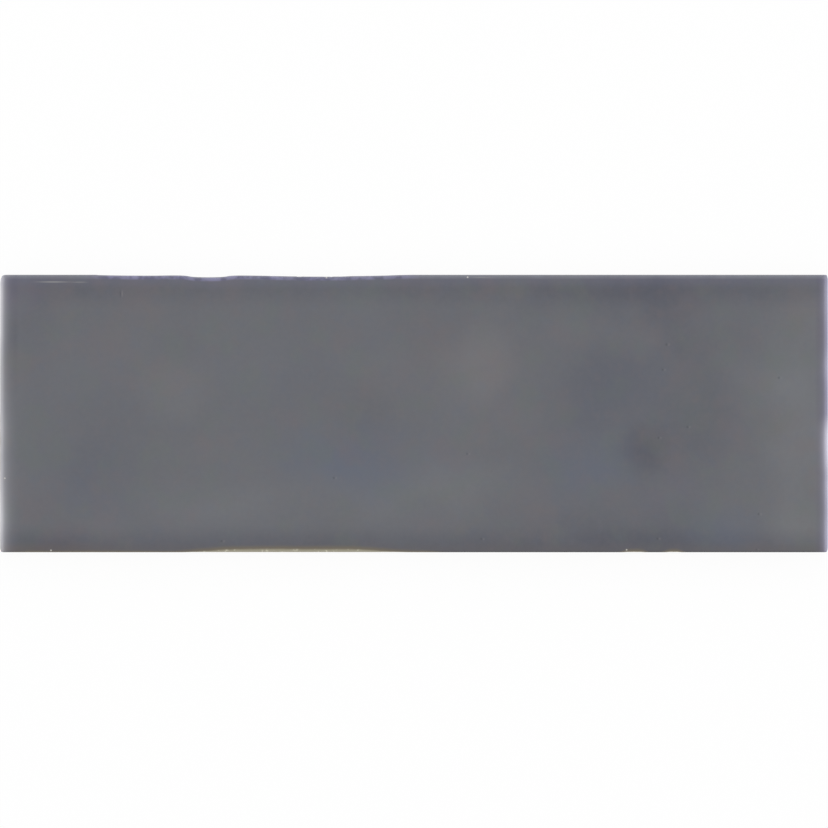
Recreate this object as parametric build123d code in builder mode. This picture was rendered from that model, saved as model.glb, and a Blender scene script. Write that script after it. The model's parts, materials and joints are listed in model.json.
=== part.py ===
"""A glazed ceramic wall tile, pressed and fired as one piece.

The tile lies with its glazed face up and its back on the XY plane. The origin is the centre of the
back, +X runs along the length and +Z comes out of the glazed face. All sizes are in millimetres.
"""

from build123d import *
from math import atan2, degrees, radians, sin
import os

# Overall sizes
tile_length = 300.0
tile_width = 100.4
tile_thickness = 8.0
corner_radius = 1.5  # rounding of the four upright corners, seen from the front

# Edge section: the flat face falls away in a shallow cushion, then rolls over into the side
cushion_width = 10.0
cushion_drop = 0.35
end_roll_radius = 3.0  # roll along the two short ends
side_roll_radius = 1.0  # roll along the two long sides
back_chamfer = 0.6  # bevel around the arris of the back

# Uneven stretch of one long side, where the pressed edge dips inwards
wave_start = 35.0  # from the left end of the tile to where the edge leaves its straight line
wave_length = 114.0
wave_depth = 0.9  # deepest dip
# The uneven edge passes through these shares of wave_length, and of wave_depth inwards
wave_points = (
    (0.04, 0.20),
    (0.17, 0.34),
    (0.25, 0.24),
    (0.30, 0.72),
    (0.355, 1.00),
    (0.41, 0.74),
    (0.455, 0.28),
    (0.50, 0.33),
    (0.60, 0.58),
    (0.73, 0.74),
    (0.82, 0.52),
    (0.89, 0.38),
    (0.96, 0.12),
)

# Keying of the back: a waffle of shallow pockets between ribs, for the adhesive to grip
pocket_side = 12.0
pocket_corner = 1.5
pocket_depth = 0.7
pocket_draft = 30.0  # lean of a pocket's walls, in degrees
rib_width = 2.4
border_width = 6.0  # least plain margin around the waffle

# Worked out from the sizes above
half_length = tile_length / 2
half_width = tile_width / 2
overrun = tile_thickness  # how far a cut runs past the tile
pocket_pitch = pocket_side + rib_width
wave_left = wave_start - half_length
wave_right = wave_left + wave_length


def even_count(span):
    """The largest even number of pockets that a span holds, so that a rib crosses its middle."""
    return 2 * int((span - 2 * border_width + rib_width) / pocket_pitch / 2)


def edge_cut(plane, roll_radius):
    """What an edge loses to its cushion and roll. The plane's X points out of the tile and its Y up."""
    slope = 2 * degrees(atan2(cushion_drop, cushion_width))
    cushion_radius = cushion_width / sin(radians(slope))
    edge_width = cushion_width + roll_radius * (1 - sin(radians(slope)))
    with BuildSketch(plane) as section:
        with BuildLine():
            cushion = JernArc((-edge_width, tile_thickness), (1, 0), cushion_radius, -slope)
            roll = JernArc(cushion @ 1, cushion % 1, roll_radius, slope - 90)
            Polyline(
                roll @ 1,
                (overrun, (roll @ 1).Y),
                (overrun, tile_thickness + overrun),
                (-edge_width, tile_thickness + overrun),
                cushion @ 0,
            )
        make_face()
    return section.sketch


# The line of the uneven side, from right to left, running past both ends of the tile
wave_line = []
for along, dip in reversed(wave_points):
    wave_line.append((wave_left + along * wave_length, half_width - dip * wave_depth))
with BuildLine() as uneven_side:
    right_run = Line((half_length + overrun, half_width), (wave_right, half_width))
    wave = Spline(
        right_run @ 1,
        *wave_line,
        (wave_left, half_width),
        tangents=[(-1, 0), (-1, 0)],
    )
    left_run = Line(wave @ 1, (-half_length - overrun, half_width))

with BuildPart() as tile:
    # The pressed slab: a rectangle cut back to the uneven side
    with BuildSketch() as outline:
        with BuildLine():
            add(uneven_side.line)
            Polyline(
                left_run @ 1,
                (-half_length - overrun, -half_width),
                (half_length + overrun, -half_width),
                right_run @ 0,
            )
        make_face()
        Rectangle(tile_length, tile_width, mode=Mode.INTERSECT)
        by_length = outline.vertices().group_by(Axis.X)
        fillet(by_length[0] + by_length[-1], corner_radius)
    extrude(amount=tile_thickness)
    chamfer(tile.faces().sort_by(Axis.Z)[0].edges(), back_chamfer)

    # Cushion and roll along the two short ends, the straight long side and the uneven one
    for side in (-1, 1):
        end_plane = Plane((side * half_length, 0, 0), x_dir=(side, 0, 0), z_dir=(0, -side, 0))
        extrude(edge_cut(end_plane, end_roll_radius), half_width + overrun, both=True, mode=Mode.SUBTRACT)
    side_plane = Plane((0, -half_width, 0), x_dir=(0, -1, 0), z_dir=(-1, 0, 0))
    extrude(edge_cut(side_plane, side_roll_radius), half_length + overrun, both=True, mode=Mode.SUBTRACT)
    uneven_plane = Plane(right_run @ 0, x_dir=(0, 1, 0), z_dir=(1, 0, 0))
    sweep(edge_cut(uneven_plane, side_roll_radius), uneven_side.line, mode=Mode.SUBTRACT)

    # Keyed back
    with BuildSketch():
        with GridLocations(pocket_pitch, pocket_pitch, even_count(tile_length), even_count(tile_width)):
            RectangleRounded(pocket_side, pocket_side, pocket_corner)
    extrude(amount=pocket_depth, taper=pocket_draft, mode=Mode.SUBTRACT)

tile.part.label = "tile"
os.makedirs("parts", exist_ok=True)
export_step(tile.part, "parts/tile.step")
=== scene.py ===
# %% [markdown]
# # A glazed wall tile
#
# A wall tile is a slab of clay pressed in a steel die, with a slate-grey glaze poured over its face and
# fired on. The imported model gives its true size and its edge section, but its mesh is too coarse for a
# wet-looking glaze. So this lesson models a finer skin of the same tile by hand, lets the firing warp
# it a little, and gives it a glaze and a bare clay body. Lengths are in millimetres until they go to
# Blender, which works in metres.

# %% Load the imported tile
import json
from math import atan2, cos, pi, radians, sin, sqrt

import bpy
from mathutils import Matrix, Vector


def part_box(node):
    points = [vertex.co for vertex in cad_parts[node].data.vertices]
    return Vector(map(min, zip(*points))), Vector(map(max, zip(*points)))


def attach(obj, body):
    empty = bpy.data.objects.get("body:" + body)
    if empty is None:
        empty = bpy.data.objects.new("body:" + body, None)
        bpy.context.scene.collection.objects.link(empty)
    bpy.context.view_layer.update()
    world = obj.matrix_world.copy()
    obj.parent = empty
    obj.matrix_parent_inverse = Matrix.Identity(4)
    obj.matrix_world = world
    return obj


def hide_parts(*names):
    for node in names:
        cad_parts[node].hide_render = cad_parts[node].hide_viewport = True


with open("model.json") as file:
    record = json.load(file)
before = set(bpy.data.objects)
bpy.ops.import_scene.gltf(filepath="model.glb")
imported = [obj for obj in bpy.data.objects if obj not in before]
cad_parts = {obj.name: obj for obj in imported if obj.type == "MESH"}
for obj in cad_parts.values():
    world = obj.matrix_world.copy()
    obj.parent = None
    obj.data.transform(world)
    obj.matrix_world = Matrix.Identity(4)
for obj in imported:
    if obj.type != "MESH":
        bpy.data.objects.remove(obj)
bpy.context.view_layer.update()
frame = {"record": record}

MM = 0.001
low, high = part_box("tile")
half_length = high.x / MM
half_width = high.y / MM
thickness = high.z / MM
kind = frame["record"]["type"]
print(f"The {kind} is {2 * half_length:.1f} by {2 * half_width:.1f} by {thickness:.1f} mm.")

# %% [markdown]
# ## The edge section
#
# Seen end on, the face of a pressed tile is flat, falls away a little near the edge in a cushion, then
# rolls over into the side. Contour lines are an easy way to model that: at each height the tile's
# outline is a rectangle, and the section says how far that rectangle lies inside the outer edge.
# The short ends have a larger roll than the long sides.

# %% Work out the contour lines
cushion_width = 10.0
cushion_drop = 0.35
end_roll = 3.0
side_roll = 1.0
back_chamfer = 0.6
cushion_steps = 6
roll_steps = 9
side_steps = 7
closest_contours = 0.05

cushion_slope = 2 * atan2(cushion_drop, cushion_width)
cushion_radius = cushion_width / sin(cushion_slope)


def edge_inset(height, roll):
    """How far inside the outer edge the section lies at this height."""
    drop = thickness - height
    if drop < cushion_drop:
        run = sqrt(drop * (2 * cushion_radius - drop))
        return cushion_width + roll * (1 - sin(cushion_slope)) - run
    above_centre = max(0.0, roll * cos(cushion_slope) - (drop - cushion_drop))
    return roll - sqrt(roll**2 - above_centre**2)


def roll_height(roll, step):
    """The height of one of the even steps that a roll is divided into."""
    angle = cushion_slope + (pi / 2 - cushion_slope) * step / roll_steps
    return thickness - cushion_drop - roll * (cos(cushion_slope) - cos(angle))


heights = []
for step in range(1, cushion_steps + 1):
    heights.append(thickness - cushion_drop * (step / cushion_steps) ** 2)
roll_heights = []
for step in range(1, roll_steps + 1):
    roll_heights.append(roll_height(side_roll, step))
    roll_heights.append(roll_height(end_roll, step))
for height in sorted(roll_heights, reverse=True):
    if heights[-1] - height > closest_contours:
        heights.append(height)
roll_foot = heights[-1]
for step in range(1, side_steps + 1):
    heights.append(roll_foot + (back_chamfer - roll_foot) * step / side_steps)

contours = []
for height in heights:
    reach_x = half_length - edge_inset(height, end_roll)
    reach_y = half_width - edge_inset(height, side_roll)
    contours.append((reach_x, reach_y, height))
contours.append((half_length - back_chamfer, half_width - back_chamfer, 0.0))
print(f"{len(contours)} contour lines lead from the face down to the back.")

# %% [markdown]
# ## The face
#
# The flat of the face starts as a grid, because a glaze that ripples needs many small faces. They are
# narrow along the tile, where the uneven side and the drips need them most. Subdividing a cube would
# give as fine a face, but it would waste as many faces again on the back.

# %% Lay the flat of the face
face_column = 0.56
face_row = 1.15

flat_x = half_length - edge_inset(thickness, end_roll)
flat_y = half_width - edge_inset(thickness, side_roll)

bpy.ops.object.select_all(action="DESELECT")
bpy.ops.mesh.primitive_grid_add(
    x_subdivisions=round(2 * flat_x / face_column),
    y_subdivisions=round(2 * flat_y / face_row),
    size=1.0,
)
tile = bpy.context.object
tile.name = "fired_tile"
bpy.ops.object.mode_set(mode="EDIT")
bpy.ops.mesh.select_mode(type="VERT")
bpy.ops.mesh.select_all(action="SELECT")
bpy.ops.transform.resize(value=(2 * flat_x * MM, 2 * flat_y * MM, 1.0))
bpy.ops.transform.translate(value=(0.0, 0.0, thickness * MM))
print(f"The flat of the face is {2 * flat_x:.1f} by {2 * flat_y:.1f} mm.")

# %% [markdown]
# ## The edges
#
# Then the rim of the grid is extruded again and again, and each new rim is scaled and lowered to the
# next contour line. Scaling about the middle keeps the corners square and the mesh regular, which
# bevelled edges would not, and each long side and each end gets its own roll in one go.

# %% Roll the edges over
def select_rims(with_wires=False):
    """In edit mode, select just the open rims of the mesh, and its loose edges if asked."""
    bpy.ops.mesh.select_all(action="DESELECT")
    bpy.ops.mesh.select_non_manifold(
        use_wire=with_wires,
        use_multi_face=False,
        use_non_contiguous=False,
        use_verts=False,
    )


select_rims()
middle = (0.0, 0.0, 0.0)
at_x = flat_x
at_y = flat_y
at_height = thickness
for reach_x, reach_y, height in contours:
    bpy.ops.mesh.extrude_region_move()
    bpy.ops.transform.resize(value=(reach_x / at_x, reach_y / at_y, 1.0), center_override=middle)
    bpy.ops.transform.translate(value=(0.0, 0.0, (height - at_height) * MM))
    at_x = reach_x
    at_y = reach_y
    at_height = height
bpy.ops.object.mode_set(mode="OBJECT")
print(f"Face and edges have {len(tile.data.polygons)} faces.")

# %% [markdown]
# ## One pocket of the keyed back
#
# The back is a waffle of shallow pockets, so that the adhesive has something to grip. One pocket is
# modelled from a plane: a vertex bevel rounds its corners, and three insets with a little depth make
# the lip, the leaning wall and the foot. A square outline around it is then filled in, to leave half a
# rib all round. Bevelling after the rib was there would have bevelled its diagonals too.

# %% Model one pocket
pocket_pitch = 14.4
rib_width = 2.4
pocket_corner = 1.5
pocket_segments = 3
pocket_steps = ((0.10, 0.06), (0.22, 0.50), (0.10, 0.14))  # inwards and up
pockets_long = 20
pockets_wide = 6

first_x = -pocket_pitch * (pockets_long - 1) / 2
first_y = -pocket_pitch * (pockets_wide - 1) / 2

bpy.ops.object.select_all(action="DESELECT")
bpy.ops.mesh.primitive_plane_add(size=(pocket_pitch - rib_width) * MM)
waffle = bpy.context.object
bpy.ops.object.mode_set(mode="EDIT")
bpy.ops.mesh.bevel(offset=pocket_corner * MM, segments=pocket_segments, affect="VERTICES")
bpy.ops.mesh.select_all(action="SELECT")
for run, depth in pocket_steps:
    bpy.ops.mesh.inset(thickness=run * MM, depth=depth * MM)
bpy.ops.mesh.primitive_plane_add(size=pocket_pitch * MM)
bpy.ops.mesh.delete(type="ONLY_FACE")
select_rims(with_wires=True)
bpy.ops.mesh.fill()
bpy.ops.mesh.select_all(action="SELECT")
bpy.ops.transform.translate(value=(first_x * MM, first_y * MM, 0.0))
bpy.ops.object.mode_set(mode="OBJECT")
print(f"One pocket has {len(waffle.data.polygons)} faces.")

# %% [markdown]
# ## The whole back
#
# Two Array modifiers repeat the pocket along and across the tile and weld the copies, which is less
# work than modelling each. The waffle is then joined to the face and edges, and filling the gap
# between the two rims closes the tile, so that it is one skin with an inside and an outside.

# %% Repeat the pocket and close the back
merge_distance = 0.01


def repeat(piece, count, step):
    """Repeat a piece along a step, in millimetres, and weld the copies together."""
    bpy.ops.object.modifier_add(type="ARRAY")
    array = piece.modifiers[-1]
    array.count = count
    array.use_relative_offset = False
    array.use_constant_offset = True
    array.constant_offset_displace = [part * MM for part in step]
    array.use_merge_vertices = True
    array.merge_threshold = merge_distance * MM
    bpy.ops.object.modifier_apply(modifier=array.name)


repeat(waffle, pockets_long, (pocket_pitch, 0.0, 0.0))
repeat(waffle, pockets_wide, (0.0, pocket_pitch, 0.0))
tile.select_set(True)
bpy.context.view_layer.objects.active = tile
bpy.ops.object.join()
bpy.ops.object.mode_set(mode="EDIT")
select_rims()
bpy.ops.mesh.fill()
bpy.ops.mesh.select_all(action="SELECT")
bpy.ops.mesh.normals_make_consistent(inside=False)
select_rims()
bpy.ops.object.mode_set(mode="OBJECT")
open_edges = sum(edge.select for edge in tile.data.edges)
print(f"The tile has {len(tile.data.polygons)} faces and {open_edges} open edges.")

# %% [markdown]
# ## Nodes as arithmetic
#
# The firing below and the finish after it are both node trees. Written out link by link they would be
# hard to read, so a small class wraps a node's output and lets plus, minus, times and divide add the
# Math nodes. Every other kind of node comes from its one method.

# %% Wrap a socket
class Socket:
    """A node's output. Arithmetic on it adds the nodes that work out the answer."""

    def __init__(self, output):
        self.output = output

    def node(self, kind, settings=(), sockets=(), output=0):
        """Add a node to the same tree: first its settings, then a value or a link for each socket."""
        tree = self.output.id_data
        added = tree.nodes.new(kind)
        for name, setting in dict(settings).items():
            if name == "curve":
                points = added.mapping.curves[0].points
                for stop in setting[1:-1]:
                    points.new(*stop)
                points[0].location = setting[0]
                points[-1].location = setting[-1]
                added.mapping.update()
            else:
                setattr(added, name, setting)
        for name, given in dict(sockets).items():
            if isinstance(given, Socket):
                tree.links.new(given.output, added.inputs[name])
            else:
                added.inputs[name].default_value = given
        return Socket(added.outputs[output])

    def math(self, operation, first, second=0.0):
        """Add a Math node that takes a value or a link for each of its first two sockets."""
        return self.node("ShaderNodeMath", {"operation": operation}, {0: first, 1: second})

    def __add__(self, other):
        return self.math("ADD", self, other)

    def __radd__(self, other):
        return self.math("ADD", other, self)

    def __sub__(self, other):
        return self.math("SUBTRACT", self, other)

    def __rsub__(self, other):
        return self.math("SUBTRACT", other, self)

    def __mul__(self, other):
        return self.math("MULTIPLY", self, other)

    def __rmul__(self, other):
        return self.math("MULTIPLY", other, self)

    def __truediv__(self, other):
        return self.math("DIVIDE", self, other)

    def __rtruediv__(self, other):
        return self.math("DIVIDE", other, self)

    def __neg__(self):
        return self.math("SUBTRACT", 0.0, self)

    def __abs__(self):
        return self.math("ABSOLUTE", self)


print("A wrapped socket can be added, subtracted, multiplied and divided.")

# %% [markdown]
# ## The words of the lesson
#
# Most of what a glaze does can be said in a few words: a smooth climb from one place to another, a
# cloud of noise, and a spot. These helpers build them from Map Range, Noise and Vector Math nodes. The
# noise has a fourth coordinate that picks a different cloud, so that no two of them line up.

# %% Name the helpers
noise_mean = 0.5
middle_fade = 1.0  # either side of the tile's middle


def scaled(vector, factor):
    """A vector times a number."""
    return vector.node("ShaderNodeVectorMath", {"operation": "SCALE"}, {0: vector, "Scale": factor})


def added(first, second):
    """The sum of two vectors."""
    return first.node("ShaderNodeVectorMath", {"operation": "ADD"}, {0: first, 1: second})


def along_axes(vector):
    """The x, y and z of a vector."""
    split = vector.node("ShaderNodeSeparateXYZ", {}, {0: vector}).output.node
    return [Socket(output) for output in split.outputs]


def larger(first, second):
    """The larger of two values."""
    return first.math("MAXIMUM", first, second)


def smaller(first, second):
    """The smaller of two values."""
    return first.math("MINIMUM", first, second)


def climb(value, start, end):
    """A smooth climb from 0 at start to 1 at end, which may also lie below start."""
    smooth = {"interpolation_type": "SMOOTHSTEP"}
    return value.node("ShaderNodeMapRange", smooth, {0: value, 1: start, 2: end})


def plus_side(value):
    """1 on the plus side of an axis and 0 on its minus side, with a soft change in the middle."""
    return climb(value, -middle_fade, middle_fade)


def stretch(value, start, end, fade):
    """1 between start and end, fading to 0 just outside them."""
    return climb(value, start - fade, start) * climb(value, end + fade, end)


def cloud(place, size, pick, detail=2.0):
    """Noise around 0, mostly within a quarter of it, in blobs of about this size."""
    sockets = {"Vector": place, "W": pick, "Scale": 1 / size, "Detail": detail}
    return place.node("ShaderNodeTexNoise", {"noise_dimensions": "4D"}, sockets) - noise_mean


def spot(place, centre, radii):
    """1 in the middle of an ellipse on the face, and 0 from its rim outwards."""
    from_centre = added(place, (-centre[0], -centre[1], 0.0))
    shares = (1 / radii[0], 1 / radii[1], 0.0)
    share = place.node("ShaderNodeVectorMath", {"operation": "MULTIPLY"}, {0: from_centre, 1: shares})
    share = place.node("ShaderNodeVectorMath", {"operation": "LENGTH"}, {0: share}, "Value")
    return climb(share, 1.0, 0.0)


print("The helpers for places are scaled, added and along_axes.")
print("The helpers for values are larger, smaller, climb, plus_side, stretch, cloud and spot.")

# %% [markdown]
# ## The firing
#
# No two of these tiles come out of the kiln alike. One long side wanders and is nicked, the glaze
# settles in slow ripples, and it stops in an uneven line part way down the sides. Proportional editing
# could push the vertices about by hand, but a small Geometry Nodes group does it the same way each
# time. It starts from where each vertex lies and how far that is from the edge.

# %% Start the firing group
firing = bpy.data.node_groups.new("firing", "GeometryNodeTree")
firing.interface.new_socket("Geometry", in_out="INPUT", socket_type="NodeSocketGeometry")
firing.interface.new_socket("Geometry", in_out="OUTPUT", socket_type="NodeSocketGeometry")
pressed_tile = Socket(firing.nodes.new("NodeGroupInput").outputs[0])
position = pressed_tile.node("GeometryNodeInputPosition")
normal = pressed_tile.node("GeometryNodeInputNormal")
place = scaled(position, 1 / MM)


def edge_distances(place):
    """How far a place lies from the ends, from the sides, and below the nearest edge of the face."""
    x, y, z = along_axes(place)
    from_end = half_length - abs(x)
    from_side = half_width - abs(y)
    over_edge = smaller(from_end, from_side) + z - thickness
    return from_end, from_side, over_edge


x, y, z = along_axes(place)
from_end, from_side, over_edge = edge_distances(place)
print(f"The firing group starts with {len(firing.nodes)} nodes.")

# %% [markdown]
# ## The corners
#
# Seen from the front, the corners are rounded, one of them more than the others. Beveling them would
# need an edge as long as the rounding beside each corner, and this fine mesh has none. So the group
# pulls the small square at each corner into a quarter of a disc, which keeps its rings in order.

# %% Round the corners
corner_round = 1.3
far_left_round = 2.3

far_left = (1.0 - plus_side(x)) * plus_side(y)
radius = corner_round + (far_left_round - corner_round) * far_left
end_part = larger(radius - from_end, 0.0)
side_part = larger(radius - from_side, 0.0)
on_square = larger(end_part, side_part)
diagonal = place.math("SQRT", end_part * end_part + side_part * side_part)
pulled = 1.0 - on_square / diagonal
pulled_x = pulled * end_part * place.math("SIGN", x)
pulled_y = pulled * side_part * place.math("SIGN", y)
print(f"The corners have a radius of {corner_round:.1f} mm, and one of {far_left_round:.1f} mm.")

# %% [markdown]
# ## The wandering side
#
# The far long side was pressed badly: for a third of its length the edge wanders inwards by up to a
# millimetre, and part of it is nicked. A Float Curve holds the line that it takes, with a point
# wherever it turns, and a climb towards the edge keeps the middle of the face where it is. The nicks
# are the peaks of a fine cloud that runs straight into the side, so that no face folds over.

# %% Let one long side wander
wave_left = -115.0
wave_length = 114.0
wave_depth = 0.9
wave_points = (
    (0.00, 0.00),
    (0.04, 0.20),
    (0.17, 0.34),
    (0.25, 0.24),
    (0.30, 0.72),
    (0.355, 1.00),
    (0.41, 0.74),
    (0.455, 0.28),
    (0.50, 0.33),
    (0.60, 0.58),
    (0.73, 0.74),
    (0.82, 0.52),
    (0.89, 0.38),
    (0.96, 0.12),
    (1.00, 0.00),
)
still_inside = 7.0
moved_outside = 2.5
nick_stretch = (-48.0, -14.0, 6.0)
nick_size = 1.3
nick_upright = 0.5  # of the cloud's height
nick_depth = 0.16
nick_peaks = (0.03, 0.15)
nick_reach = (1.4, 0.5)  # from the straight edge
nick_heights = (2.0, 5.0)

wave_share = place.node("ShaderNodeMapRange", {}, {0: x, 1: wave_left, 2: wave_left + wave_length})
wave = place.node("ShaderNodeFloatCurve", {"curve": wave_points}, {"Value": wave_share})
near_edge = climb(y, half_width - still_inside, half_width - moved_outside)
at_arris = climb(half_width - y, *nick_reach) * climb(z, *nick_heights)
on_side = place.node("ShaderNodeCombineXYZ", {}, {"X": x, "Z": nick_upright * z})
nicks = stretch(x, *nick_stretch) * at_arris * climb(cloud(on_side, nick_size, pick=1.0), *nick_peaks)
inwards = wave_depth * wave * near_edge + nick_depth * nicks
print(f"The far side wanders over {wave_length:.0f} mm, by up to {wave_depth:.1f} mm.")

# %% [markdown]
# ## The settling glaze
#
# A thick glaze never dries flat. It keeps slow ripples a few centimetres long, puckers between them,
# and leaves a dimple where a bubble burst or a grain lay under it. Bump in the material could fake
# this, but real geometry bends the reflections of the lamps as a real glaze does.

# %% Let the glaze settle
ripple_depth = 0.22
ripple_size = 42.0
pucker_depth = 0.10
pucker_size = 13.0
rippled_depth = 1.2  # below the top of the face
dimples = (  # centre, radii and depth
    ((83.0, -12.5), (12.0, 11.0), 0.12),
    ((143.5, -28.4), (2.4, 2.8), 0.14),
    ((142.0, 38.0), (2.2, 2.6), 0.12),
)

on_face = climb(z, thickness - rippled_depth, thickness - cushion_drop)
settled = ripple_depth * (cloud(place, ripple_size, pick=2.0) + noise_mean)
settled = settled + pucker_depth * (cloud(place, pucker_size, pick=3.0) + noise_mean)
for centre, radii, depth in dimples:
    settled = settled + depth * spot(place, centre, radii)
settled = settled * on_face
print(f"The glaze settles by up to {ripple_depth + pucker_depth:.2f} mm, with {len(dimples)} dimples.")

# %% [markdown]
# ## The line where the glaze stops
#
# The glaze runs over the edge and stops part way down the side in drips. Along the near long side it
# pulled back as far as the arris, where the clay shows as a cream line. The group works out how far
# each vertex lies above that line, and sinks the bare clay by the thickness of the glaze, so that the
# line is a real step.

# %% Draw the line where the glaze stops
glaze_layer = 0.08
side_line = -4.6  # below the edge of the face
drip_reach = 5.0
drip_size = 13.0
ragged_reach = 1.6
ragged_size = 2.6
lowest_glaze = 0.9  # above the back
thin_stretch = (-138.0, 2.0, 20.0)
thin_line = -1.6
bare_stretch = (-62.0, -24.0, 28.0)
bare_rise = 1.95
bare_wander = 0.14
bare_spots = ((79.5, 1.6), (94.0, 0.8))  # x and half length
spot_fade = 9.0
spot_rise = 0.42
nick_bareness = 4.1
side_width = 4.0
step_width = 0.2

drips = drip_reach * cloud(place, drip_size, pick=4.0)
drips = drips + ragged_reach * cloud(place, ragged_size, pick=5.0)
thin = stretch(x, *thin_stretch)
bare = stretch(x, *bare_stretch)
for middle_x, half_spot in bare_spots:
    small_spot = climb(abs(x - middle_x), half_spot + spot_fade, half_spot)
    thin = larger(thin, small_spot)
    bare = larger(bare, spot_rise * small_spot)
low_line = side_line + drips
high_line = thin_line + bare_rise * bare + bare_wander * drips
glaze_line = low_line + thin * (1.0 - plus_side(y)) * (high_line - low_line)
cover = over_edge - glaze_line - nick_bareness * nicks
cover = smaller(cover, z - lowest_glaze)
on_sides = climb(z, back_chamfer, 2 * back_chamfer) * climb(over_edge, side_width, side_width / 2)
sunk = glaze_layer * on_sides * climb(cover, step_width, -step_width)
print(f"The glaze stops {-side_line:.1f} mm below the edge, give or take {drip_reach / 2:.1f} mm.")

# %% [markdown]
# ## Out of the kiln
#
# The group ends by moving the vertices. It also stores two attributes for the finish: where each vertex
# lay on the straight tile, and how far above the line it lies. Then the modifier is applied, and the
# arrises that are sharper than a roll stay sharp in the shading.

# %% Move the vertices
sharp_angle = 40.0

moves = {"X": -pulled_x, "Y": -pulled_y - inwards, "Z": -settled}
sideways = place.node("ShaderNodeCombineXYZ", {}, moves)
shift = added(sideways, scaled(normal, -sunk))
with_place = place.node(
    "GeometryNodeStoreNamedAttribute",
    {"data_type": "FLOAT_VECTOR", "domain": "POINT"},
    {"Geometry": pressed_tile, "Name": "pressed", "Value": place},
)
with_cover = place.node(
    "GeometryNodeStoreNamedAttribute",
    {"data_type": "FLOAT", "domain": "POINT"},
    {"Geometry": with_place, "Name": "cover", "Value": cover},
)
moved = {"Geometry": with_cover, "Offset": scaled(shift, MM)}
fired = place.node("GeometryNodeSetPosition", {}, moved)
firing.links.new(fired.output, firing.nodes.new("NodeGroupOutput").inputs[0])

bpy.ops.object.modifier_add(type="NODES")
kiln = tile.modifiers[-1]
kiln.node_group = firing
bpy.ops.object.modifier_apply(modifier=kiln.name)
bpy.ops.object.shade_smooth_by_angle(angle=radians(sharp_angle))
triangles = sum(len(face.vertices) - 2 for face in tile.data.polygons)
print(f"The fired tile has {triangles} triangles.")

# %% [markdown]
# ## The finish
#
# One material covers the tile, because the glaze and the clay meet in a ragged line that no edge of
# the mesh follows. It reads Object coordinates for its clouds, and the two attributes for what follows
# the edge. Colours are written as a picture shows them and turned into the linear values of a shader.

# %% Start the finish
def paint(red, green, blue):
    """A colour as a picture shows it, 0 to 255, in the linear values that a shader takes."""
    linear = []
    for part in (red, green, blue):
        share = part / 255
        linear.append(share / 12.92 if share <= 0.04045 else ((share + 0.055) / 1.055) ** 2.4)
    return (*linear, 1.0)


def blend(share, first, second):
    """From the first colour to the second by a share from 0 to 1."""
    return share.node("ShaderNodeMix", {"data_type": "RGBA"}, {0: share, 6: first, 7: second}, 2)


finish = bpy.data.materials.new("slate_glaze_on_clay")
finish.use_nodes = True
finish.node_tree.nodes.clear()
coordinates = Socket(finish.node_tree.nodes.new("ShaderNodeTexCoord").outputs["Object"])
place = scaled(coordinates, 1 / MM)
pressed = place.node("ShaderNodeAttribute", {"attribute_name": "pressed"}, {}, "Vector")
cover = place.node("ShaderNodeAttribute", {"attribute_name": "cover"}, {}, "Fac")
x, y, z = along_axes(pressed)
from_end, from_side, over_edge = edge_distances(pressed)
far_side = plus_side(y)
right_end = plus_side(x)
print(f"The finish starts with {len(finish.node_tree.nodes)} nodes.")

# %% [markdown]
# ## How thick the glaze lies
#
# The glaze is glass with a little pigment, dark where it lies thick and paler where it is thin. Its
# thinness drifts over the face and is finely grained. It is lowered in a band along each long side,
# which darkens the face there, and where the glaze ran together beside the rolls of the ends. A colour
# ramp on each cloud would do as well, but one number for the thinness lets all of them add up before
# any colour is chosen.

# %% Work out the thinness
even_thinness = 0.5
drift = 0.26
drift_size = 38.0
speckle = 0.10
speckle_size = 5.0
grain = 0.13
grain_size = 1.6
far_side_band = (13.0, 4.5)
far_side_darkening = 0.20
near_side_band = (10.5, 2.5)
near_side_darkening = 0.25
right_pool = (2.6, 3.6, 1.6)
right_pooling = 0.14
left_pool = (2.2, 5.5, 2.0)
left_pooling = 0.15
left_change = (-5.0, 25.0)  # along y

thinness = even_thinness + drift * cloud(place, drift_size, pick=6.0, detail=1.0)
thinness = thinness + speckle * cloud(place, speckle_size, pick=7.0, detail=4.0)
thinness = thinness + grain * cloud(place, grain_size, pick=22.0)
# The face is darker in a band along each long side.
thinness = thinness - far_side_darkening * far_side * climb(from_side, *far_side_band)
thinness = thinness - near_side_darkening * (1.0 - far_side) * climb(from_side, *near_side_band)
thinness = thinness - right_pooling * right_end * stretch(from_end, *right_pool)
far_part = climb(y, *left_change)
thinness = thinness - left_pooling * (1.0 - right_end) * far_part * stretch(from_end, *left_pool)
print(f"The thinness lies around {even_thinness:.1f} and drifts by {drift / 4:.2f} either way.")
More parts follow.
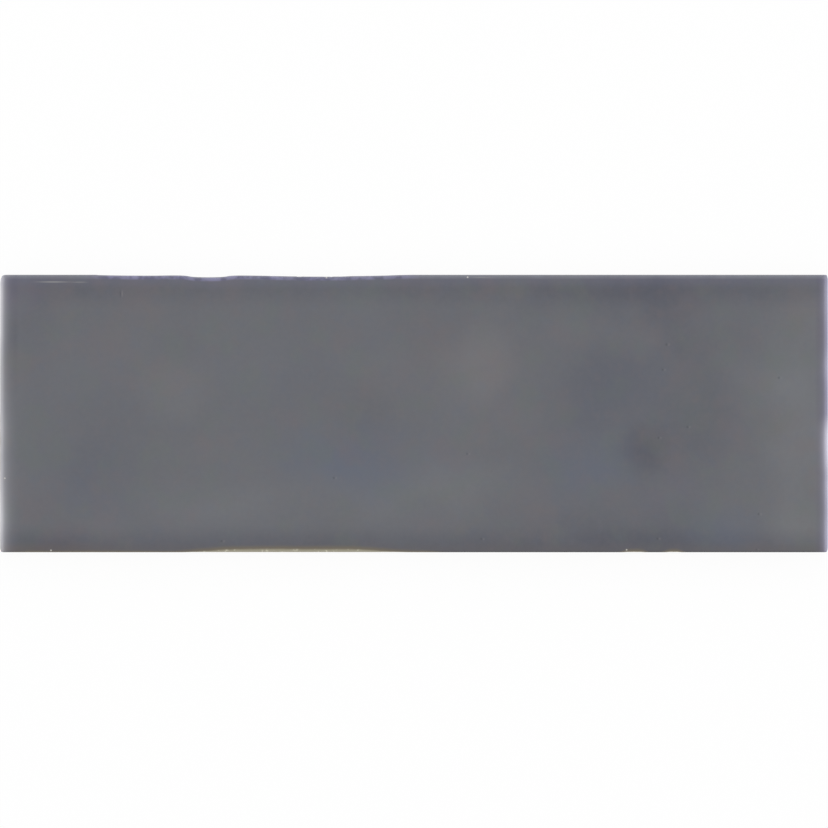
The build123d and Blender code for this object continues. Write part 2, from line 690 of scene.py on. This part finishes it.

# %% [markdown]
# ## Patches in the glaze
#
# Soft patches, which one tile has and the next has not, are thinner or thicker than the rest. They are
# listed one by one, and their places are read through a swirl of noise, so that none of them is a neat
# ellipse. Only the pool in the large dimple is read without it, because it has to stay in the dimple.

# %% Mottle the glaze
deep_glaze_and_crease_shade = paint(82, 82, 90)
thin_glaze = paint(119, 120, 121)
patches = (  # centre, radii and how much thinner
    ((140.0, 2.0), (20.0, 70.0), 0.26),
    ((127.0, 10.0), (22.0, 14.0), 0.14),
    ((-86.6, 9.3), (20.0, 19.0), 0.16),
    ((24.8, 18.0), (17.0, 21.0), 0.22),
    ((18.5, -25.0), (36.0, 14.0), 0.16),
    ((-70.0, -32.5), (38.0, 13.0), 0.14),
    ((71.0, 9.0), (34.0, 28.0), -0.16),
    ((104.0, 0.0), (24.0, 28.0), -0.16),
    ((91.0, 29.0), (10.0, 16.0), -0.10),
    ((-115.6, -21.5), (22.0, 19.0), -0.08),
    ((76.0, -42.0), (70.0, 12.0), -0.14),
    ((86.0, 42.0), (70.0, 14.0), -0.26),
    ((-140.0, 30.0), (15.0, 24.0), -0.10),
    ((-66.0, 22.0), (30.0, 18.0), 0.06),
    ((-22.0, -28.0), (30.0, 16.0), 0.08),
    ((90.0, -16.0), (20.0, 20.0), -0.11),
    ((101.0, 25.0), (16.0, 15.0), -0.10),
    ((140.0, -42.0), (18.0, 14.0), 0.18),
    ((-128.0, -47.0), (30.0, 8.0), -0.14),
    ((80.0, -8.0), (52.0, 60.0), -0.08),
    ((-132.0, -38.0), (22.0, 18.0), -0.09),
    ((-10.0, 30.0), (44.0, 16.0), -0.05),
    ((116.0, 29.0), (17.0, 12.0), -0.09),
    ((58.0, -36.0), (22.0, 14.0), -0.06),
    ((-8.0, -32.0), (50.0, 18.0), 0.05),
)
dimple_pool = ((82.5, -12.5), (15.0, 13.0), 0.26)
swirl_size = 20.0
swirl_reach = 14.0

swirl_noise = {"Vector": place, "Scale": 1 / swirl_size, "Detail": 1.0}
swirl = place.node("ShaderNodeTexNoise", {}, swirl_noise, "Color")
swirl = scaled(added(swirl, (-noise_mean, -noise_mean, -noise_mean)), swirl_reach)
swirled = added(place, swirl)
for centre, radii, change in patches:
    thinness = thinness + change * spot(swirled, centre, radii)
centre, radii, pooled = dimple_pool
thinness = thinness - pooled * spot(place, centre, radii)
glaze = blend(thinness, deep_glaze_and_crease_shade, thin_glaze)
print(f"{len(patches)} patches mottle the glaze.")

# %% [markdown]
# ## Tints in the glaze
#
# Metal oxides wander in the melt and tint the glaze here and there: blue in a few large patches, and
# a breath of warm or green in small ones. A colour ramp on one noise would tie all the tints to each
# other, so each has a cloud of its own, mixed in weakly.

# %% Tint the glaze
cool_glaze = paint(92, 101, 120)
warm_glaze = paint(115, 103, 103)
green_glaze = paint(99, 109, 101)
lilac_glaze = paint(106, 99, 116)
cool_patches = (
    ((-24.0, -17.5), (36.0, 20.0), 0.41),
    ((63.8, -19.7), (26.0, 18.0), 0.33),
    ((-116.0, -28.0), (26.0, 26.0), 0.15),
    ((71.0, 9.0), (34.0, 28.0), 0.10),
    ((112.0, -42.0), (22.0, 12.0), 0.26),
    ((-55.0, 14.0), (42.0, 17.0), 0.09),
    ((14.0, -17.0), (18.0, 12.0), 0.13),
)
cool_share = 0.1
cool_drift = 0.2
cool_size = 28.0
tint_patches = (
    ((18.0, 20.0), (34.0, 20.0), warm_glaze, 0.16),
    ((132.0, -4.0), (14.0, 10.0), warm_glaze, 0.12),
    ((101.0, 0.0), (16.0, 16.0), green_glaze, 0.14),
    ((132.0, 18.0), (16.0, 10.0), green_glaze, 0.12),
    ((-145.0, 42.0), (13.0, 11.0), lilac_glaze, 0.45),
    ((92.0, -30.0), (16.0, 12.0), lilac_glaze, 0.20),
)
small_tints = (  # colour, share, size and pick of the cloud
    (warm_glaze, 0.20, 14.0, 20.0),
    (green_glaze, 0.20, 11.0, 21.0),
    (cool_glaze, 0.09, 4.0, 23.0),
    (warm_glaze, 0.09, 3.0, 24.0),
)
small_tint_peaks = (-0.02, 0.20)

coolness = cool_share + cool_drift * cloud(place, cool_size, pick=8.0)
for centre, radii, change in cool_patches:
    coolness = coolness + change * spot(swirled, centre, radii)
glaze = blend(coolness, glaze, cool_glaze)
for centre, radii, tint, share in tint_patches:
    glaze = blend(share * spot(swirled, centre, radii), glaze, tint)
for tint, share, size, pick in small_tints:
    tinted = share * climb(cloud(place, size, pick), *small_tint_peaks)
    glaze = blend(tinted, glaze, tint)
print(f"{len(cool_patches) + len(tint_patches)} patches and {len(small_tints)} small tints colour it.")

# %% [markdown]
# ## The near side
#
# Along the near side the glaze is warm, browned by the clay that shines through it, and it ends in a
# dark line at the arris. Both are soft masks of the distance from the side. They are cut off below the
# roll and wander a little, so that the line isn't ruled.

# %% Warm the glaze along the near side
near_glaze = paint(100, 91, 87)
near_reach = (4.5, 1.0)
near_share = 0.22
left_warmth = 0.26
left_warm_part = (-100.0, -125.0)
dark_line = paint(60, 60, 64)
dark_line_reach = (0.8, 0.2)
dark_line_share = 0.9
roll_top = -2.5  # below the edge of the face
roll_bottom = -6.0
rim_wander = 0.5
rim_size = 16.0

on_roll = climb(over_edge, roll_bottom, roll_top)
on_roll = on_roll * (1.0 + rim_wander * cloud(place, rim_size, pick=9.0))
near_side = on_roll * (1.0 - far_side)
warmth = near_share + left_warmth * climb(x, *left_warm_part)
glaze = blend(warmth * near_side * climb(from_side, *near_reach), glaze, near_glaze)
glaze = blend(dark_line_share * near_side * climb(from_side, *dark_line_reach), glaze, dark_line)
print(f"The dark line of the near side is {dark_line_reach[0]:.1f} mm wide.")

# %% [markdown]
# ## The pale ends
#
# On a convex edge a melting glaze pulls away, and the pale body shines through it. The pale ends are
# partly that and partly a painted highlight, the reflection of the strip lamps on their larger roll,
# almost white in some stretches. Between these, the right end is lilac. An exponential fall gives a
# soft rim, which a mask with two limits would not.

# %% Thin the glaze over the ends and paint their highlight
pale_rim_and_highlight = paint(222, 221, 228)
left_fade = 1.7
left_far_fade = 1.3
left_share = 0.54
left_stretches = (  # y, half length and how much more
    (40.0, 28.0, 0.44),
    (-6.0, 12.0, 0.18),
    (-22.0, 12.0, 0.10),
    (-37.0, 16.0, 0.31),
)
lilac_rim_and_highlight = paint(196, 192, 250)
bright_rim_and_highlight = paint(225, 223, 237)
right_fade = 1.05
right_share = 0.39
bright_fade = 1.4
bright_stretches = (
    (42.0, 14.0, 0.22),
    (17.0, 9.0, 0.20),
    (-8.0, 9.0, 0.92),
    (-15.5, 8.0, 0.66),
    (-25.0, 12.0, 0.38),
    (-42.0, 22.0, 0.31),
)
right_tint_reach = (6.0, 2.5)
right_tint_share = 0.18
rim_depth = 8.0


def end_rim_and_highlight(end, share, stretches, fade):
    """How much of the pale body and of the painted highlight shows at one end, more in a few stretches.
    """
    for middle_y, half_stretch, more in stretches:
        share = more * spot(pressed, (end * half_length, middle_y), (rim_depth, half_stretch)) + share
    return share * place.math("EXPONENT", -from_end / fade)


# Partly thin glaze, partly a painted highlight of the strip lamps on the rolls of the ends.
fade = left_fade + (left_far_fade - left_fade) * far_part
left_rim_and_highlight = on_roll * (1.0 - right_end) * end_rim_and_highlight(-1, left_share, left_stretches, fade)
right_rim_and_highlight = on_roll * right_end * end_rim_and_highlight(1, right_share, (), right_fade)
right_bright_and_highlight = on_roll * right_end * end_rim_and_highlight(1, 0.0, bright_stretches, bright_fade)
right_tint = right_tint_share * right_end * climb(from_end, *right_tint_reach)
glaze = blend(right_tint, glaze, lilac_glaze)
glaze = blend(left_rim_and_highlight, glaze, pale_rim_and_highlight)
glaze = blend(right_rim_and_highlight, glaze, lilac_rim_and_highlight)
glaze = blend(right_bright_and_highlight, glaze, bright_rim_and_highlight)
print(f"The glaze thins over {left_fade:.1f} mm at the left end and {right_fade:.2f} mm at the right.")

# %% [markdown]
# ## The far side
#
# The far side, with its small roll, is only a little paler than the face: partly thin glaze, partly a
# painted highlight of the far softbox on the roll. Where it wanders the glaze is lilac, in light and
# dark blotches of a fine cloud, with a faint painted highlight that tails off towards the middle.
# Below the arris the glaze lies thick again, so the rim fades out there.

# %% Thin the glaze over the far side and paint its highlight
grey_rim_and_highlight = paint(150, 152, 160)
grey_share = 0.21
dark_lilac = paint(100, 97, 134)
light_lilac = paint(148, 145, 184)
lilac_grain = 3.0
lilac_peaks = (-0.12, 0.12)
lilac_share = 0.42
lilac_stretch = (-110.0, -6.0, 12.0)
far_rim_stretch = (0.45, 0.9, 0.9)  # in from the edge
far_rim_heights = (-4.0, -1.6)  # below the edge of the face
far_rim_drift = 1.4
far_rim_size = 6.0
far_highlight_tail = paint(126, 124, 160)
far_tail_reach = (5.5, 1.5)
far_tail_share = 0.10

# Partly thin glaze, partly a painted highlight of the far softbox on the roll.
far_rim_and_highlight = on_roll * far_side * (1.0 + far_rim_drift * cloud(place, far_rim_size, pick=25.0))
far_rim_and_highlight = far_rim_and_highlight * stretch(from_side, *far_rim_stretch) * climb(over_edge, *far_rim_heights)
# A faint painted highlight that tails off towards the middle.
far_highlight_tail_mask = far_tail_share * on_roll * far_side * climb(from_side, *far_tail_reach)
wandering = stretch(x, *lilac_stretch)
far_share = grey_share + (lilac_share - grey_share) * wandering
lilac = blend(climb(cloud(place, lilac_grain, pick=26.0), *lilac_peaks), dark_lilac, light_lilac)
glaze = blend(far_highlight_tail_mask, glaze, far_highlight_tail)
glaze = blend(far_share * far_rim_and_highlight, glaze, blend(wandering, grey_rim_and_highlight, lilac))
print(f"The far rim is lilac over {lilac_stretch[1] - lilac_stretch[0]:.0f} mm.")

# %% [markdown]
# ## The clay body
#
# The body is a matte cream clay, buff in places, with dark flecks of iron and pale ones of grog. Near
# the arris it is painted darker, as the shade of the roll, and where the far side is nicked it is a
# fresher grey. The ribs of the back carry a chalky wash, which keeps a tile from sticking to the kiln. A
# cloud, a height or both say where each of these shows, which needs no painted mask.

# %% Colour the clay
clay_cream = paint(190, 181, 164)
clay_buff = paint(170, 158, 139)
buff_size = 4.0
buff_peaks = (-0.15, 0.15)
clay_fleck = paint(112, 92, 74)
fleck_size = 0.5
fleck_peaks = (0.22, 0.28)
fleck_share = 0.6
painted_clay_shade = paint(150, 146, 128)
clay_shade_heights = (5.4, 7.0)
clay_shade_share = 0.85
clay_pale = paint(208, 204, 186)
pale_size = 1.2
pale_peaks = (0.07, 0.19)
pale_share = 0.7
chipped_clay = paint(182, 176, 174)
chip_heights = (4.0, 6.0)
kiln_wash = paint(212, 207, 196)
wash_heights = (0.35, 0.05)
wash_share = 0.55
wash_size = 5.0
wash_peaks = (-0.20, 0.05)

clay = blend(climb(cloud(place, buff_size, pick=11.0, detail=4.0), *buff_peaks), clay_cream, clay_buff)
clay = blend(fleck_share * climb(cloud(place, fleck_size, pick=12.0), *fleck_peaks), clay, clay_fleck)
# Painted shade: the clay is darker towards the arris.
clay = blend(clay_shade_share * climb(z, *clay_shade_heights), clay, painted_clay_shade)
clay = blend(pale_share * climb(cloud(place, pale_size, pick=27.0), *pale_peaks), clay, clay_pale)
clay = blend(far_side * climb(z, *chip_heights), clay, chipped_clay)
washed = climb(z, *wash_heights) * climb(cloud(place, wash_size, pick=19.0, detail=4.0), *wash_peaks)
clay = blend(wash_share * washed, clay, kiln_wash)
print(f"The iron flecks of the clay are about {fleck_size:.1f} mm wide.")

# %% [markdown]
# ## The line where the clay shows
#
# The glaze just above the line is too thin to hide the clay, so the clay fades in over a fringe before
# it is bare, and along the near side the fringe is browned. A little noise on the stored attribute
# makes the line more ragged than the mesh could.

# %% Bare the clay below the line
browned_glaze = paint(116, 107, 89)
browned_reach = (2.5, 0.5)
browned_share = 0.78
fringe = (0.9, -0.1)
bared_edge = (0.1, -0.2)
ragged_line = 0.3
ragged_grain = 0.9

ragged = cover + ragged_line * cloud(place, ragged_grain, pick=10.0, detail=3.0)
bared = climb(ragged, *bared_edge)
browned = browned_share * (1.0 - far_side) * climb(ragged, *browned_reach)
glaze = blend(browned, glaze, browned_glaze)
glaze = blend(climb(ragged, *fringe), glaze, clay)
colour = blend(bared, glaze, clay)
print(f"The clay fades in over {fringe[0] - fringe[1]:.1f} mm of the edge.")

# %% [markdown]
# ## Pinholes
#
# Gas that leaves the clay late bursts through the glaze and leaves pinholes, and the eye misses them
# when they are gone. A dozen are listed, dark with painted shade and with a painted highlight on the
# right, and the peaks of a cloud add some faint pits, darkened with painted shade too. They are also
# sunk in the relief below.

# %% Sink the pinholes
pinholes = (  # centre and radius
    ((91.3, 24.9), 0.84),
    ((89.9, 15.8), 0.68),
    ((131.9, 12.9), 0.72),
    ((88.4, -8.8), 0.68),
    ((98.9, -4.9), 0.68),
    ((124.6, -36.4), 0.72),
    ((-29.0, -23.3), 0.68),
    ((19.2, -14.6), 0.64),
    ((-69.6, -46.2), 0.72),
    ((24.3, -45.4), 0.72),
    ((88.0, -45.3), 0.64),
    ((123.8, -49.2), 0.50),
)
pit_shade_colour = paint(70, 71, 76)
pit_shade_share = 0.45
pit_size = 2.2
pit_peaks = (0.30, 0.36)
pale_mark_and_highlight = paint(134, 134, 136)
lip_highlight_offset = 0.85
lip_highlight_share = 0.22

# The dark of the pits is painted shade, and the pale lip on the right is a painted highlight.
pits = climb(cloud(place, pit_size, pick=13.0), *pit_peaks)
for centre, radius in pinholes:
    lip_highlight = (centre[0] + lip_highlight_offset, centre[1])
    colour = blend(lip_highlight_share * spot(place, lip_highlight, (radius, radius)), colour, pale_mark_and_highlight)
    pits = pits + spot(place, centre, (radius, radius))
pits = smaller(pits, 1.0) * (1.0 - bared)
colour = blend(pit_shade_share * pits, colour, pit_shade_colour)
print(f"{len(pinholes)} pinholes are sunk into the glaze.")

# %% [markdown]
# ## Specks and scratches
#
# A few specks of clay stick to the edges, and short scratches mark the far side, most of them lighter
# than the glaze. A dark and a light line side by side are the painted shade and painted highlight of a
# small crease. Each is one small ellipse of another colour. A texture could hold them, but ellipses
# stay sharp at any distance.

# %% Mark the face
specks = (  # centre and radius
    ((-131.3, -49.5), 0.46),
    ((-148.0, -23.4), 0.42),
    ((19.4, 49.3), 0.46),
    ((76.9, -49.3), 0.44),
)
speck_colour = paint(214, 211, 204)
speck_share = 0.9
scratches = (  # centre, radii, colour and share
    ((-130.5, 47.6), (9.0, 0.46), pale_mark_and_highlight, 1.0),
    ((-121.0, 47.5), (4.4, 0.40), pale_mark_and_highlight, 0.6),
    ((24.2, 49.2), (5.0, 0.30), pale_mark_and_highlight, 0.8),
    # The painted shade and painted highlight of a small crease.
    ((-106.2, 43.3), (0.4, 2.4), deep_glaze_and_crease_shade, 0.7),
    ((-105.5, 43.3), (0.4, 2.0), pale_mark_and_highlight, 0.35),
)

on_top = climb(z, roll_foot, thickness - cushion_drop)
for centre, radius in specks:
    colour = blend(speck_share * spot(place, centre, (radius, radius)), colour, speck_colour)
for centre, radii, mark, share in scratches:
    colour = blend(share * on_top * spot(place, centre, radii), colour, mark)
print(f"{len(specks)} specks and {len(scratches)} scratches mark the face.")

# %% [markdown]
# ## Gloss and relief
#
# A fired glaze is smooth glass with a faint orange peel, while bare clay is matte and sandy. Roughness
# and bump both change at the line where the glaze stops. The relief is in millimetres, and the Bump
# node's distance turns it into metres.

# %% Give the finish its gloss and relief
glass_index = 1.5
glaze_roughness = 0.21
roughness_drift = 0.10
roughness_size = 9.0
clay_roughness = 0.88
peel = ((0.012, 1.6, 14.0, 2.0), (0.03, 6.0, 15.0, 2.0))  # height, size, pick and detail of each cloud
sand = ((0.06, 0.45, 16.0, 4.0), (0.08, 2.5, 17.0, 3.0))
pit_depth = 0.05


def layers(place, clouds):
    """The sum of several clouds of different heights."""
    total = 0.0
    for height, size, pick, detail in clouds:
        total = total + height * cloud(place, size, pick, detail)
    return total


orange_peel = layers(place, peel)
relief = orange_peel + bared * (layers(place, sand) - orange_peel) - pit_depth * pits
roughness = glaze_roughness + roughness_drift * cloud(place, roughness_size, pick=18.0, detail=4.0)
roughness = roughness + bared * (clay_roughness - roughness)
bump = place.node("ShaderNodeBump", {}, {"Strength": 1.0, "Distance": MM, "Height": relief})
shader = place.node(
    "ShaderNodeBsdfPrincipled",
    {},
    {"Base Color": colour, "Roughness": roughness, "Normal": bump, "IOR": glass_index},
)
output = finish.node_tree.nodes.new("ShaderNodeOutputMaterial")
finish.node_tree.links.new(shader.output, output.inputs["Surface"])
tile.data.materials.clear()
tile.data.materials.append(finish)
print(f"The finish has {len(finish.node_tree.nodes)} nodes.")

# %% [markdown]
# ## The table
#
# The tile lies on a plain white table. To the eye and in reflections the table is white through its
# Light Path, with a trace of its own shading left so that the tile keeps its shadow. A brighter lamp
# would whiten the table too, but it would bleach the tile.

# %% Lay the table
def seen(first):
    """1 for what the camera sees, directly, in a reflection or through glass."""
    path = first.node("ShaderNodeLightPath").output.node
    camera_ray = Socket(path.outputs["Is Camera Ray"])
    glossy_ray = Socket(path.outputs["Is Glossy Ray"])
    clear_ray = Socket(path.outputs["Is Transmission Ray"])
    return larger(larger(camera_ray, glossy_ray), clear_ray)


white = (1.0, 1.0, 1.0, 1.0)
table_paint = (0.9, 0.9, 0.9, 1.0)
table_size = 6.0  # in metres
table_gap = 0.05
table_whiteness = 0.92

bpy.ops.object.select_all(action="DESELECT")
bpy.ops.mesh.primitive_plane_add(size=table_size, location=(0.0, 0.0, low.z - table_gap * MM))
table = bpy.context.object
table.name = "table"
top = bpy.data.materials.new("white_table")
top.use_nodes = True
top.node_tree.nodes.clear()
matte = Socket(top.node_tree.nodes.new("ShaderNodeBsdfDiffuse").outputs[0])
matte.output.node.inputs["Color"].default_value = table_paint
glow = matte.node("ShaderNodeEmission", {}, {"Color": white, "Strength": 1.0})
table_top = matte.node("ShaderNodeMixShader", {}, {0: table_whiteness * seen(matte), 1: matte, 2: glow})
output = top.node_tree.nodes.new("ShaderNodeOutputMaterial")
top.node_tree.links.new(table_top.output, output.inputs["Surface"])
table.data.materials.append(top)
print(f"The table is {table_size:.0f} m square.")

# %% [markdown]
# ## The sky
#
# Most of the light comes from an even sky. In reflections it is white around the horizon and darker
# overhead, as in a studio with pale walls and a dim ceiling, so that the glossy face doesn't wash out
# when it is seen from above.

# %% Hang the sky
sky_light = 0.88
overhead = (0.30, 0.31, 0.33, 1.0)
wall_top = 0.35  # upward part of the direction
ceiling = 0.95

sky = bpy.data.worlds.new("studio_sky")
bpy.context.scene.world = sky
sky.use_nodes = True
sky.node_tree.nodes.clear()
direction = Socket(sky.node_tree.nodes.new("ShaderNodeTexCoord").outputs["Generated"])
upwards = along_axes(direction)[2]
backdrop = blend(climb(upwards, wall_top, ceiling), white, overhead)
sky_colour = blend(seen(direction), (sky_light, sky_light, sky_light, 1.0), backdrop)
background = direction.node("ShaderNodeBackground", {}, {"Color": sky_colour, "Strength": 1.0})
output = sky.node_tree.nodes.new("ShaderNodeOutputWorld")
sky.node_tree.links.new(background.output, output.inputs["Surface"])
print(f"The sky gives {sky_light:.2f} of full light.")

# %% [markdown]
# ## The lamps
#
# A wide softbox beyond the far side and a strip beyond each end light the rolls of the edges, which
# would look flat under the sky alone. Each is turned to face the tile by tracking its own place.

# %% Place the lamps
lamps = (  # name, place and size in metres, power in watts
    ("far_softbox", (0.0, 1.7, 0.85), (2.8, 1.0), 8.0),
    ("left_strip", (-1.5, 0.0, 0.6), (1.6, 0.8), 4.2),
    ("right_strip", (1.5, 0.0, 0.6), (1.6, 0.8), 4.2),
)
for name, location, size, watts in lamps:
    bpy.ops.object.light_add(type="AREA", location=location)
    lamp = bpy.context.object
    lamp.name = name
    lamp.data.shape = "RECTANGLE"
    lamp.data.size = size[0]
    lamp.data.size_y = size[1]
    lamp.data.energy = watts
    lamp.rotation_mode = "QUATERNION"
    lamp.rotation_quaternion = lamp.location.to_track_quat("Z", "Y")
    print(f"{name} shines {watts:.1f} W from {lamp.location.length:.1f} m.")

# %% [markdown]
# ## The camera
#
# The camera looks straight down through a long lens, so that the sides of the tile don't show. Its
# distance is what makes the picture a hair narrower than the tile, measured at the height of the rim.

# %% Aim the camera
lens = 200.0
sensor = 36.0
cropped = 0.1  # of the tile's length, half at each end
picture_width = 2 * half_length - cropped
picture_centre = -0.17
rim_above_foot = 0.5
rim_height = roll_foot + rim_above_foot

distance = picture_width * lens / sensor
bpy.ops.object.camera_add(location=(0.0, picture_centre * MM, (rim_height + distance) * MM))
camera = bpy.context.object
camera.data.lens = lens
camera.data.sensor_width = sensor
bpy.context.scene.camera = camera
bpy.context.scene.view_settings.view_transform = "Standard"
print(f"The camera hangs {camera.location.z:.2f} m above the table.")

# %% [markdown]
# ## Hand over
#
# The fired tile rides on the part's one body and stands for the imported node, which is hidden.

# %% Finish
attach(tile, "root")
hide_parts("tile")
